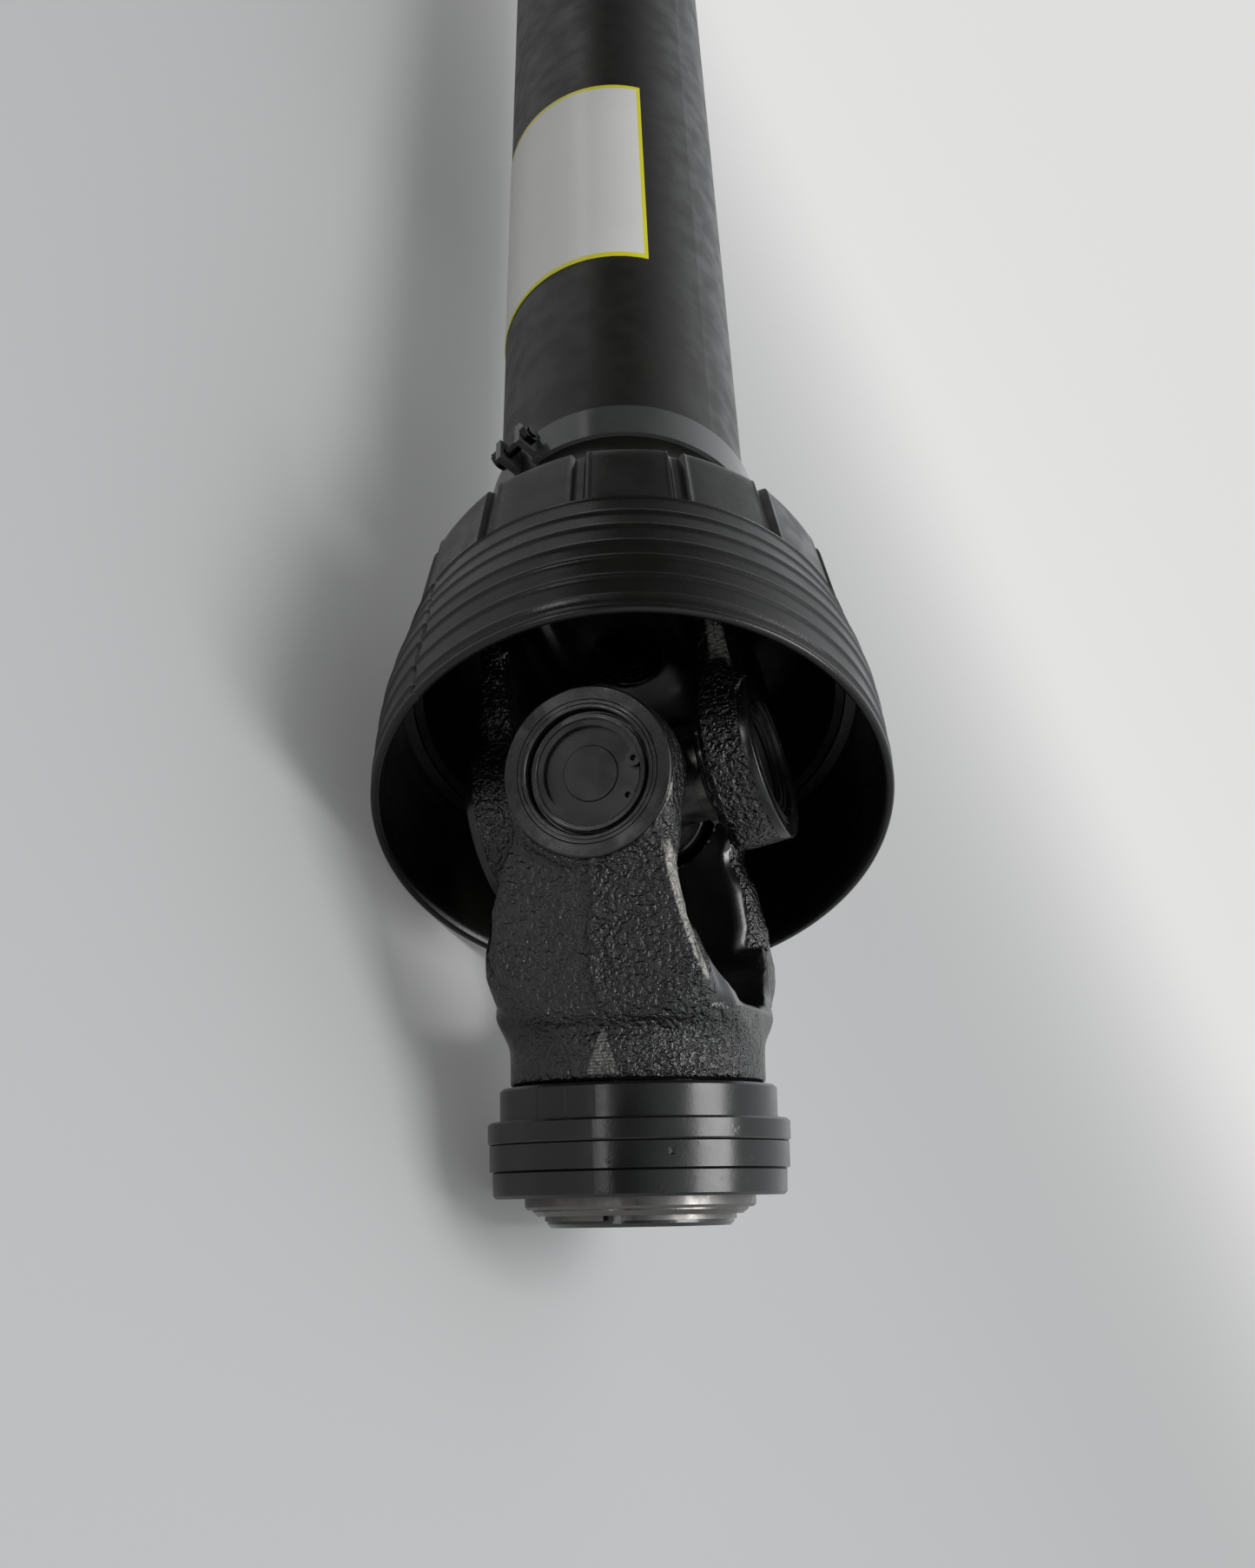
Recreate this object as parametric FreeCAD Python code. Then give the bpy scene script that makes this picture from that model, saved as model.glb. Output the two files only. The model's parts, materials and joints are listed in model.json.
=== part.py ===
import FreeCAD, Part
import math
import os

# A telescopic drive shaft with a universal joint, a quick-release yoke and a plastic guard
# at each end. All sizes are in millimetres and degrees. The shaft lies along X with its
# floor at Z = 0: both bells stand on their rims, and each bent end yoke leans on its collar.

# Whole shaft
closed_length = 860.0       # between the two cross centres, pushed shut
rest_bend = 34.7            # between each end yoke and the shaft, as it lies
pin_roll = 12.5             # inner yoke pins, turned from upright about the shaft
floor_gap = 0.05            # under the collar, so that it just meets the floor

# Universal joint: cross and cups
cup_radius = 15.08
cup_end = 40.0              # from the cross centre to the cup's closed end
cup_start = 24.6
cup_floor = 2.6
cup_disc_radius = 8.1
cup_disc_height = 0.4
trunnion_radius = 9.0
trunnion_clearance = 0.05
shoulder_radius = 12.6
shoulder_end = 22.0
cross_core_radius = 17.0
seal_radius = 14.3
seal_gap = 0.1

# Universal joint: forks
ear_radius = 24.5
ear_face = 43.5             # machined ring on each ear, from the cross centre
arm_face = 42.3
arm_bend_height = 28.0
fork_gap_half = 27.0
fork_corner = 18.0
fork_floor = 62.4           # machined floor between the two arms
fork_edge_bevel = 4.5       # along the arms' inner edges, to clear the other fork
arm_half_width = 24.2
arm_waist_height = 37.0
arm_foot_half_width = 36.4
arm_foot_height = 66.0
arm_foot_face = 39.5
arm_foot_taper = 6.0        # the face turns in this far before the foot
forging_radius = 49.5
forging_shoulder = 10.0     # its rounding, before the foot
neck_radius = 36.8
neck_rise = 7.0             # from the arms' feet to the neck
neck_length = 11.8
cup_seat_clearance = 0.02
circlip_groove_depth = 1.3
circlip_thickness = 1.5
circlip_play = 0.1
circlip_lip = 0.6
ear_mouth_radius = 17.3
circlip_width = 2.9
circlip_lug_radius = 2.2
circlip_hole_radius = 0.9
circlip_gap = 46.0          # between the two lugs' centres, seen from the cross
circlip_roll = 99.5         # the gap, turned from the ear's tip

# Quick-release hub of the end yoke, measured from the neck's end
hub_radius = 26.7
hub_end = 39.5
spline_minor_radius = 14.95
spline_major_radius = 17.5
spline_space = 8.7
spline_count = 6
ball_radius = 6.0
ball_count = 3
ball_height = 18.2
ball_inset = 0.05           # locked balls stay this far off the spline's tooth tips
ball_hole_clearance = 0.08
ball_seat_lip = 2.0
collar_travel = 6.0
ball_travel = 2.6

# Collar, from the fork outwards, measured from the neck's end
collar_bore_clearance = 0.08
ball_land_clearance = 0.6
sleeve_radius = 33.0
sleeve_start = 6.7
sleeve_end = 34.5
spring_pocket_radius = 31.6
spring_shelf = 11.7
ball_land_start = 15.2
front_guide_start = 31.4
shield_radius = 39.9
shield_start = 0.5
shield_clearance = 0.4
ring_radius = 43.4
ring_start = 10.0
grip_radius = 43.0
grip_start = 16.2
grip_seam = 24.0
grip_seam_size = 0.7
grip_nose_radius = 42.2
grip_end = 31.3
press_clearance = 0.05
spring_recess = 6.8
spring_wire_radius = 1.1
spring_mean_radius = 29.2
spring_turns = 4.0
washer_radius = 30.9
washer_bevel = 1.6
washer_thickness = 1.8
snap_ring_thickness = 1.4
snap_ring_depth = 1.4
snap_ring_width = 2.9

# Inner yoke and the two profile tubes, measured from the neck's end
inner_hub_radius = 34.0
inner_hub_end = 20.2
guard_groove_start = 8.4
guard_groove_end = 16.4
guard_groove_radius = 30.5
tube_socket_depth = 29.0    # from the hub's end
lobe_offset = 17.0
outer_lobe_radius = 12.0
outer_tube_wall = 4.0
inner_tube_wall = 4.5
tube_slip = 0.3             # between the two profile tubes
tube_end_gap = 12.0         # at each closed end of the telescope
spring_pin_height = 1.2
spring_pin_radius = 5.0
spring_pin_wall = 1.4
spring_pin_slot = 1.5

# Guard: bell, base, tubes and their fastenings. Depths run inwards from the bell's mouth.
mouth_reach = 4.7           # mouth beyond the cross centre
mouth_radius = 77.0
bell_radius = 76.2
bell_neck_wall = 3.25
bell_depth = 59.5
bell_wall = 2.2
bell_sweep = 2.6            # power that rounds the bell off towards its neck
rim_width = 2.6
rim_bevel = 0.7
bell_lap_clearance = 0.15
crest_height = 0.8
crest_width = 2.4
crest_count = 6
base_front = 46.0
base_radius = 69.4
base_lap_step = 2.8         # the lap for the bell is this much smaller
base_shoulder = 90.0
base_taper = 4.1            # on the radius, down to the shoulder
base_edge_round = 2.4
base_wall = 3.0
base_neck_length = 6.0      # past the bearing's seat
base_neck_radius = 46.6
panel_count = 12
panel_slot_width = 4.0
panel_slot_depth = 1.8
panel_roll = 11.1           # first slot, turned from upright about the shaft
bearing_seat_radius = 42.0
bearing_lip = 0.9
bearing_slip = 0.1
bearing_split = 2.0
sleeve_clearance = 0.1
guard_tube_stop = 1.6       # between the bearing's seat and the tube
guard_sleeve_length = 33.4
guard_sleeve_wall = 1.5
guard_tube_radius = 41.8
guard_tube_wall = 3.0
inner_guard_radius = 38.3
inner_guard_wall = 2.8
guard_end_gap = 10.0
inner_guard_stop = 35.0
band_offset = 14.6          # from the base's neck
band_width = 15.0
band_thickness = 1.6
band_gap = 7.0
band_lug = 7.6
band_screw_rise = 4.2       # its axis above the band
band_roll = 102.0
band_screw_radius = 1.9
band_screw_head = 3.4
label_start = 240.0
label_length = 131.0
label_roll = 40.5           # first edge, turned from upright about the shaft
label_arc = 140.0
label_thickness = 0.3
label_glue = 0.05

V = FreeCAD.Vector
ORIGIN = V(0, 0, 0)
X, Y, Z = V(1, 0, 0), V(0, 1, 0), V(0, 0, 1)


# Outlines and solids

def rounded_wire(corners, plane):
    """A closed wire through (u, v, radius) corners, each rounded by its own radius."""
    points = [V(c[0], c[1], 0) for c in corners]
    edges = []
    starts, ends, middles = [], [], []
    for i, point in enumerate(points):
        radius = corners[i][2]
        if radius == 0:
            starts.append(point)
            ends.append(point)
            middles.append(None)
            continue
        back = (points[i - 1] - point).normalize()
        ahead = (points[(i + 1) % len(points)] - point).normalize()
        half_angle = back.getAngle(ahead) / 2
        centre = point + (back + ahead).normalize() * (radius / math.sin(half_angle))
        starts.append(point + back * (radius / math.tan(half_angle)))
        ends.append(point + ahead * (radius / math.tan(half_angle)))
        middles.append(centre + (point - centre).normalize() * radius)
    lift = {"XZ": lambda p: V(p.x, 0, p.y), "YZ": lambda p: V(0, p.x, p.y), "XY": lambda p: p}[plane]
    for i in range(len(points)):
        if middles[i] is not None:
            edges.append(Part.Arc(lift(starts[i]), lift(middles[i]), lift(ends[i])).toShape())
        after = (i + 1) % len(points)
        if (ends[i] - starts[after]).Length > 1e-6:
            edges.append(Part.LineSegment(lift(ends[i]), lift(starts[after])).toShape())
    return Part.Wire(edges)


def turned(corners):
    """A full turn about Z of an outline of (radius, height) or (radius, height, rounding)."""
    full = [c if len(c) == 3 else (c[0], c[1], 0) for c in corners]
    return Part.Face(rounded_wire(full, "XZ")).revolve(ORIGIN, Z, 360)


def extruded(corners, plane, low, high):
    """An outline pushed square to its plane, from low to high."""
    face = Part.Face(rounded_wire(corners, plane))
    along = {"XZ": Y, "YZ": X, "XY": Z}[plane]
    face.translate(along * low)
    return face.extrude(along * (high - low))


def rod(radius, low, high, along=Z):
    """A solid cylinder about an axis through the origin."""
    return Part.makeCylinder(radius, high - low, along * low, along)


def sleeve(outer, inner, low, high, along=Z):
    """A plain ring or tube."""
    return rod(outer, low, high, along).cut(rod(inner, low, high, along))


def turned_copy(shape, angle, along=Z):
    """A copy of a shape turned about an axis through the origin."""
    copy = shape.copy()
    copy.rotate(ORIGIN, along, angle)
    return copy


def on_neck(shape):
    """A shape moved out from the cross centre to the neck's end."""
    moved = shape.copy()
    moved.translate(Z * neck_end)
    return moved


def both_ways(shape, along=Z):
    """A shape and its half-turn twin, as two separate solids."""
    return [shape, turned_copy(shape, 180, along)]


def rounded_triangle(lobe_radius, low, high):
    """A prism with three round lobes, the form of the sliding profile tubes."""
    corners = []
    reach = lobe_offset + 2 * lobe_radius
    for i in range(3):
        angle = math.radians(90 + 120 * i)
        corners.append((reach * math.cos(angle), reach * math.sin(angle), lobe_radius))
    return extruded(corners, "XY", low, high)


# Universal joint

def cross_body():
    """Four trunnions on shoulders, round a solid core."""
    arms = []
    for along in (X, Y):
        arms.append(rod(trunnion_radius, -trunnion_end, trunnion_end, along))
        arms.append(rod(shoulder_radius, -shoulder_end, shoulder_end, along))
    core = Part.makeSphere(cross_core_radius)
    return core.multiFuse(arms).removeSplitter()


def cross_seals():
    """A lip seal on each trunnion, between its shoulder and its cup."""
    ring = sleeve(seal_radius, trunnion_radius, shoulder_end, cup_start - seal_gap, X)
    return [turned_copy(ring, 90 * i) for i in range(4)]


def grease_nipple():
    """A nipple screwed into the crook between two arms of the cross."""
    foot = cross_core_radius - 0.6
    nipple = turned([(0, foot), (3.4, foot), (3.4, foot + 2.6), (2.2, foot + 3.2), (2.2, foot + 5.2),
                     (2.8, foot + 5.9), (2.8, foot + 7.2), (1.5, foot + 8.8), (0, foot + 8.8)])
    nipple = turned_copy(nipple, 90, Y)
    return turned_copy(nipple, 45).cut(cross_body())


def bearing_cup():
    """A closed cup over the trunnion at +X."""
    face = cup_end - cup_disc_height
    bore = trunnion_radius + trunnion_clearance
    floor = cup_end - cup_floor
    cup = turned([(bore, cup_start), (cup_radius - 0.5, cup_start), (cup_radius, cup_start + 0.5),
                  (cup_radius, face - 0.9), (cup_radius - 0.9, face), (cup_disc_radius, face),
                  (cup_disc_radius - 0.3, cup_end), (0, cup_end), (0, floor), (bore, floor)])
    return turned_copy(cup, 90, Y)


def circlip():
    """An open ring with two eyed lugs, in the groove outside the cup at +X."""
    low = cup_end + circlip_play / 2
    high = low + circlip_thickness
    outer = circlip_groove_radius - circlip_play
    ring = sleeve(outer, outer - circlip_width, low, high)
    wide = outer * 2
    half = math.radians(circlip_gap / 2 - 6)
    wedge = extruded([(0, 0, 0), (wide * math.cos(half), -wide * math.sin(half), 0),
                      (wide * math.cos(half), wide * math.sin(half), 0)], "XY", low, high)
    ring = ring.cut(wedge)
    for side in (-1, 1):
        angle = math.radians(side * circlip_gap / 2)
        seat = outer - circlip_width
        centre = V(seat * math.cos(angle), seat * math.sin(angle), low)
        lug = Part.makeCylinder(circlip_lug_radius, circlip_thickness, centre, Z)
        eye = Part.makeCylinder(circlip_hole_radius, circlip_thickness, centre, Z)
        ring = ring.fuse(lug).cut(eye)
    return turned_copy(turned_copy(ring, 90, Y), -circlip_roll, X)


def ear_bore():
    """Everything that is bored out of the ear at +X: cup seat, clip groove and mouth."""
    seat = cup_radius + cup_seat_clearance
    groove_low = cup_end
    groove_high = groove_low + circlip_thickness + circlip_play
    lip = groove_high + circlip_lip
    bore = turned([(0, fork_gap_half - 1), (seat, fork_gap_half - 1), (seat, groove_low),
                   (circlip_groove_radius, groove_low), (circlip_groove_radius, groove_high),
                   (seat, groove_high), (seat, lip), (ear_mouth_radius - 0.4, lip),
                   (ear_mouth_radius, ear_face + 0.5), (0, ear_face + 0.5)])
    return turned_copy(bore, 90, Y)


def forging():
    """The fork shared by both yokes: two flared arms that close in to a round neck."""
    low = -ear_radius
    width = [(-arm_half_width, 0, 0), (-arm_half_width, arm_waist_height, 45),
             (-arm_foot_half_width, arm_foot_height, 8), (-arm_foot_half_width, neck_start, 0),
             (arm_foot_half_width, neck_start, 0), (arm_foot_half_width, arm_foot_height, 8),
             (arm_half_width, arm_waist_height, 45), (arm_half_width, 0, 0)]
    turn_in = arm_foot_height - arm_foot_taper
    depth = [(-arm_face, low, 0), (-arm_face, arm_bend_height, 30), (-arm_foot_face, turn_in, 12),
             (-arm_foot_half_width, neck_start, 0), (arm_foot_half_width, neck_start, 0),
             (arm_foot_face, turn_in, 12), (arm_face, arm_bend_height, 30), (arm_face, low, 0)]
    reach = ear_face * 1.2
    arms = extruded(width, "YZ", -reach, reach).fuse(rod(ear_radius, -reach, reach, X))
    arms = arms.common(extruded(depth, "XZ", -reach, reach))
    arms = arms.common(turned([(0, low), (forging_radius, low),
                               (forging_radius, arm_foot_height - forging_shoulder, 14),
                               (neck_radius, neck_start), (0, neck_start)]))
    gap = extruded([(-fork_gap_half, low - 1, 0), (-fork_gap_half, fork_floor, fork_corner),
                    (fork_gap_half, fork_floor, fork_corner), (fork_gap_half, low - 1, 0)],
                   "XZ", -reach, reach)
    neck = turned([(0, arm_foot_height), (neck_radius, arm_foot_height), (neck_radius, neck_end - 0.8),
                   (neck_radius - 0.8, neck_end), (0, neck_end)])
    body = arms.fuse(neck).cut(gap)
    inner, outer = arm_half_width - fork_edge_bevel, arm_half_width + 2
    flare = fork_gap_half + fork_edge_bevel + 2
    for side in (-1, 1):
        bevel = extruded([(-fork_gap_half, side * inner, 0), (fork_gap_half, side * inner, 0),
                          (flare, side * outer, 0), (-flare, side * outer, 0)],
                         "XY", low - 1, fork_floor - fork_corner)
        body = body.cut(bevel)
    for boss in both_ways(rod(ear_radius, fork_gap_half, ear_face, X)):
        body = body.fuse(boss)
    for bore in both_ways(ear_bore()):
        body = body.cut(bore)
    return body.removeSplitter()


def spline_cutter(low, high):
    """The bore with its six straight spaces."""
    cutter = rod(spline_minor_radius, low, high)
    for i in range(spline_count):
        space = Part.makeBox(spline_major_radius, spline_space, high - low, V(0, -spline_space / 2, low))
        cutter = cutter.fuse(turned_copy(space, 360 / spline_count * i))
    return cutter.common(rod(spline_major_radius, low, high))


def end_yoke():
    """Fork with a splined hub, drilled for the locking balls and grooved for the snap ring."""
    hub = turned([(0, -1), (hub_radius, -1), (hub_radius, hub_end - 1), (hub_radius - 1, hub_end), (0, hub_end)])
    groove_low = sleeve_end + washer_thickness
    groove = sleeve(hub_radius + 1, hub_radius - snap_ring_depth, groove_low,
                    groove_low + snap_ring_thickness)
    recess = sleeve(spring_pocket_radius, hub_radius, -spring_recess, 1)
    body = forging().cut(on_neck(recess)).fuse(on_neck(hub)).cut(on_neck(groove))
    body = body.cut(spline_cutter(fork_floor - 1, neck_end + hub_end + 1))
    seat = ball_centre - ball_seat_lip
    small = math.sqrt(ball_radius ** 2 - ball_seat_lip ** 2) + 0.15
    for i in range(ball_count):
        hole = rod(ball_radius + ball_hole_clearance, seat, hub_radius + 1, X)
        hole = hole.fuse(rod(small, spline_minor_radius / 2, seat, X))
        hole.translate(Z * ball_height)
        body = body.cut(on_neck(turned_copy(hole, 360 / ball_count * i)))
    return body.removeSplitter()


def inner_yoke(lobe_radius):
    """Fork with a plain hub that takes a profile tube, grooved for the guard's bearing."""
    hub = sleeve(inner_hub_radius, guard_groove_radius, -1, inner_hub_end)
    hub = hub.cut(sleeve(inner_hub_radius + 1, guard_groove_radius, guard_groove_start, guard_groove_end))
    core = rod(guard_groove_radius, -1, inner_hub_end)
    body = forging().fuse(on_neck(hub.fuse(core)))
    body = body.cut(on_neck(rounded_triangle(lobe_radius + press_clearance, tube_socket_start, inner_hub_end + 1)))
    body = body.cut(rod(lobe_offset / 2 + 2, fork_floor - 1, neck_end + tube_socket_start + 1))
    return body.cut(pin_bore()).removeSplitter()


def pin_bore():
    """The cross hole for the spring pin."""
    hole = rod(spring_pin_radius, -neck_radius - 1, neck_radius + 1, Y)
    hole.translate(Z * spring_pin_height)
    return on_neck(hole)


def profile_tube(lobe_radius, wall, length):
    """A three-lobed tube from its socket in the inner yoke, drilled for the spring pin."""
    low = tube_socket_start
    outer = rounded_triangle(lobe_radius, low, low + length)
    bore = rounded_triangle(lobe_radius - wall, low - 1, low + length + 1)
    return on_neck(outer.cut(bore)).cut(pin_bore())


def spring_pin():
    """A slotted pin through the inner yoke and its tube."""
    half = inner_hub_radius - 0.6
    radius = spring_pin_radius - press_clearance
    pin = sleeve(radius, radius - spring_pin_wall, -half, half, Y)
    slot = Part.makeBox(spring_pin_slot, 2 * half + 2, radius + 1, V(-spring_pin_slot / 2, -half - 1, 0))
    pin = pin.cut(slot)
    pin.translate(Z * spring_pin_height)
    return on_neck(pin)


# Quick-release collar

def locking_ball(index):
    """One of the balls that lock the hub to the shaft inside it."""
    ball = Part.makeSphere(ball_radius, V(ball_centre, 0, ball_height))
    return turned_copy(ball, 360 / ball_count * index)


def collar_sleeve():
    """Steel sleeve: spring pocket, guide, land over the balls, ramp, relief and front guide."""
    bore = hub_radius + collar_bore_clearance
    land = ball_centre + ball_radius + ball_land_clearance
    relief = land + ball_travel
    return turned([(spring_pocket_radius, sleeve_start), (sleeve_radius, sleeve_start),
                   (sleeve_radius, sleeve_end - 0.8), (sleeve_radius - 0.8, sleeve_end),
                   (bore, sleeve_end), (bore, front_guide_start), (relief, front_guide_start),
                   (relief, ball_height + collar_travel), (land, ball_height), (land, ball_land_start),
                   (bore, ball_land_start), (bore, spring_shelf), (spring_pocket_radius, spring_shelf)])


def collar_shield():
    """First ring: a skirt that slides over the neck, with a flange on the sleeve."""
    bore = sleeve_radius + press_clearance
    skirt = neck_radius + shield_clearance
    return turned([(skirt, shield_start), (shield_radius - 0.8, shield_start), (shield_radius, shield_start + 0.8),
                   (shield_radius, ring_start), (bore, ring_start), (bore, sleeve_start), (skirt, sleeve_start)])


def collar_ring():
    """Second ring, the widest, with bevelled edges."""
    bore = sleeve_radius + press_clearance
    return turned([(bore, ring_start), (ring_radius - 0.7, ring_start), (ring_radius, ring_start + 0.7),
                   (ring_radius, grip_start - 0.5), (ring_radius - 0.5, grip_start), (bore, grip_start)])


def collar_grip():
    """Third and fourth rings, one moulding with a seam round it."""
    bore = sleeve_radius + press_clearance
    half = grip_seam_size / 2
    return turned([(bore, grip_start), (grip_radius - 0.4, grip_start), (grip_radius, grip_start + 0.4),
                   (grip_radius, grip_seam - half), (grip_nose_radius - half, grip_seam),
                   (grip_nose_radius, grip_seam + half), (grip_nose_radius - 0.2, grip_end - 0.8),
                   (grip_nose_radius - 1.0, grip_end), (bore, grip_end)])


def collar_spring():
    """Coil spring of eight-sided wire between the neck and the sleeve's shelf."""
    low = -spring_recess + spring_wire_radius + 0.2
    high = spring_shelf - spring_wire_radius - 0.2
    helix = Part.makeHelix((high - low) / spring_turns, high - low, spring_mean_radius)
    corners = []
    for i in range(8):
        angle = math.radians(45 * i + 22.5)
        corners.append(V(spring_mean_radius + spring_wire_radius * math.cos(angle), 0,
                         spring_wire_radius * math.sin(angle)))
    section = Part.makePolygon(corners + corners[:1])
    spring = Part.Wire(helix.Edges).makePipeShell([section], True, True)
    spring.translate(Z * low)
    return spring


def end_washer():
    """Bevelled steel washer that stops the sleeve."""
    bore = hub_radius + press_clearance
    high = sleeve_end + washer_thickness
    return turned([(bore, sleeve_end), (washer_radius, sleeve_end), (washer_radius, sleeve_end + 0.4),
                   (washer_radius - washer_bevel, high), (bore, high)])


def snap_ring():
    """Open ring in the hub's groove, outside the washer."""
    low = sleeve_end + washer_thickness
    inner = hub_radius - snap_ring_depth + press_clearance
    ring = sleeve(inner + snap_ring_width - 0.9, inner, low, low + snap_ring_thickness)
    return ring.cut(Part.makeBox(hub_radius * 2, 5, 4, V(0, -2.5, low - 1)))


# Guard

def bell_edge(depth):
    """The bell's radius between its crests, at a depth from the mouth."""
    return bell_radius - (bell_radius - bell_neck_radius) * (depth / bell_depth) ** bell_sweep


def guard_bell():
    """Thin soft bell: a thick rim and bevelled crests, one pitch apart, down to its neck."""
    pitch = (bell_depth - rim_width) / (crest_count + 0.6)
    rim = mouth_radius - rim_bevel
    points = [(rim - rim_width, 0), (rim, 0), (mouth_radius, rim_bevel),
              (mouth_radius, rim_width - rim_bevel), (bell_edge(rim_width), rim_width)]
    for i in range(1, crest_count + 1):
        depth = rim_width + pitch * i
        top = bell_edge(depth) + crest_height
        points += [(bell_edge(depth - crest_width / 2), depth - crest_width / 2), (top, depth - crest_width / 5),
                   (top, depth + crest_width / 5), (bell_edge(depth + crest_width / 2), depth + crest_width / 2)]
    inner = base_lap_radius + bell_lap_clearance
    middle = base_front / 2
    points += [(bell_neck_radius, bell_depth), (inner, bell_depth), (inner, base_front - 1),
               (bell_edge(middle) - bell_wall, middle)]
    return turned([(radius, mouth_reach - depth) for radius, depth in points])


def guard_base(tube_radius):
    """Stiff base: lap for the bell, slotted skirt, back cone, bearing seat and tube sleeve."""
    top = mouth_reach
    seat = bearing_seat_radius
    bore = tube_radius + sleeve_clearance
    outer = bore + guard_sleeve_wall
    slope = base_wall + 1.0
    points = [(base_lap_radius - base_wall, base_front), (base_lap_radius, base_front),
              (base_lap_radius, bell_depth + 0.3), (base_radius, bell_depth + 0.3),
              (base_shoulder_radius, base_shoulder, base_edge_round), (base_neck_radius, base_neck, 6),
              (outer, base_neck + 4), (outer, guard_sleeve_end), (bore, guard_sleeve_end),
              (bore, guard_tube_start), (tube_radius - guard_tube_wall, guard_tube_start),
              (tube_radius - guard_tube_wall, bearing_seat_end), (seat, bearing_seat_end),
              (seat, bearing_seat_start - 0.4), (seat - bearing_lip, bearing_seat_start - 0.8),
              (seat - bearing_lip, bearing_seat_start - 1.8), (seat, bearing_seat_start - 3),
              (base_shoulder_radius - slope, base_shoulder - base_wall, 4)]
    body = turned([(p[0], top - p[1]) + tuple(p[2:]) for p in points])
    slots = []
    sweep = math.degrees(panel_slot_width / base_radius)
    low, high = bell_depth + 0.3, base_shoulder + base_edge_round
    fall = (base_radius - base_shoulder_radius) / (base_shoulder - low)
    far = base_radius - fall * (high - low)
    section = Part.Face(rounded_wire([(base_radius - panel_slot_depth, top - low, 0), (base_radius + 2, top - low, 0),
                                      (base_radius + 2, top - high, 0), (far - panel_slot_depth, top - high, 0)], "XZ"))
    for i in range(panel_count):
        slot = section.revolve(ORIGIN, Z, sweep)
        slots.append(turned_copy(slot, 360 / panel_count * i - sweep / 2))
    return body.cut(Part.makeCompound(slots))


def guard_bearing():
    """Split plastic ring that runs in the inner yoke's groove and carries the base."""
    low = mouth_reach - bearing_seat_end + bearing_slip
    high = -neck_end - guard_groove_start - bearing_slip
    ring = sleeve(bearing_seat_radius - press_clearance, guard_groove_radius + bearing_slip, low, high)
    gap = Part.makeBox(bearing_seat_radius, bearing_split, high - low, V(0, -bearing_split / 2, low))
    return ring.cut(gap)


def guard_tube(radius, wall, length):
    """Plain guard tube from its seat in the base."""
    high = mouth_reach - guard_tube_start
    return sleeve(radius, radius - wall, high - length, high)


def retaining_band(tube_radius):
    """Open band round the base's sleeve, with two lugs for its screw."""
    inner = tube_radius + sleeve_clearance + guard_sleeve_wall + press_clearance
    outer = inner + band_thickness
    high = mouth_reach - band_start
    low = high - band_width
    band = sleeve(outer, inner, low, high)
    lugs = Part.makeBox(band_lug + band_thickness, band_gap + 2 * band_thickness + 1.2, band_width * 0.62,
                        V(outer - band_thickness, -band_gap / 2 - band_thickness - 0.6, low + band_width * 0.19))
    gap = Part.makeBox(outer * 2, band_gap, band_width + 2, V(0, -band_gap / 2, low - 1))
    hole = Part.makeCylinder(band_screw_radius + 0.1, band_gap * 4, V(outer + band_screw_rise, -band_gap * 2,
                             (low + high) / 2), Y)
    return band.fuse(lugs).cut(rod(inner, low, high)).cut(gap).cut(hole)


def band_screw(tube_radius):
    """Cheese-head screw across the band's two lugs, with its nut."""
    outer = tube_radius + sleeve_clearance + guard_sleeve_wall + press_clearance + band_thickness
    middle = mouth_reach - band_start - band_width / 2
    face = band_gap / 2 + band_thickness + 0.6
    screw = rod(band_screw_radius, -face - 3.2, face, Y)
    head = rod(band_screw_head, face, face + 2.4, Y)
    head = head.cut(Part.makeBox(8, 1.2, 1.0, V(-4, face + 1.3, -0.5)))
    nut = extruded([(3.6 * math.cos(math.radians(60 * i)), 3.6 * math.sin(math.radians(60 * i)), 0)
                    for i in range(6)], "XZ", -face - 2.6, -face)
    screw = screw.multiFuse([head, nut])
    screw.translate(V(outer + band_screw_rise, 0, middle))
    return screw


def label():
    """Thin bare label wrapped part of the way round the outer guard tube."""
    high = mouth_reach - label_start
    low = high - label_length
    inner = guard_tube_radius + label_glue
    outer = inner + label_thickness
    face = Part.Face(rounded_wire([(inner, high, 0), (outer, high, 0), (outer, low, 0), (inner, low, 0)], "XZ"))
    return face.revolve(ORIGIN, Z, label_arc)


# Sizes that follow from the ones above

neck_start = arm_foot_height + neck_rise
neck_end = neck_start + neck_length
trunnion_end = cup_end - cup_floor - 0.2
circlip_groove_radius = cup_radius + circlip_groove_depth
ball_centre = spline_minor_radius + ball_inset + ball_radius
inner_lobe_radius = outer_lobe_radius - outer_tube_wall - tube_slip
half_length = closed_length / 2
tube_socket_start = inner_hub_end - tube_socket_depth
tube_room = closed_length - 2 * neck_end - tube_end_gap - tube_socket_start
profile_length = tube_room - inner_hub_end
inner_profile_length = tube_room - spring_pin_height - spring_pin_radius
base_lap_radius = base_radius - base_lap_step
base_shoulder_radius = base_radius - base_taper
bell_neck_radius = base_lap_radius + bell_lap_clearance + bell_neck_wall
bearing_seat_start = mouth_reach + neck_end + guard_groove_start - bearing_slip
bearing_seat_end = mouth_reach + neck_end + guard_groove_end + bearing_slip
base_neck = bearing_seat_end + base_neck_length
guard_tube_start = bearing_seat_end + guard_tube_stop
guard_sleeve_end = guard_tube_start + guard_sleeve_length
band_start = base_neck + band_offset
guard_tube_length = closed_length + 2 * mouth_reach - guard_tube_start - guard_sleeve_end - guard_end_gap
inner_guard_length = guard_tube_length - inner_guard_stop + guard_sleeve_end - guard_tube_start


# Where the two ends lie

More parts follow.
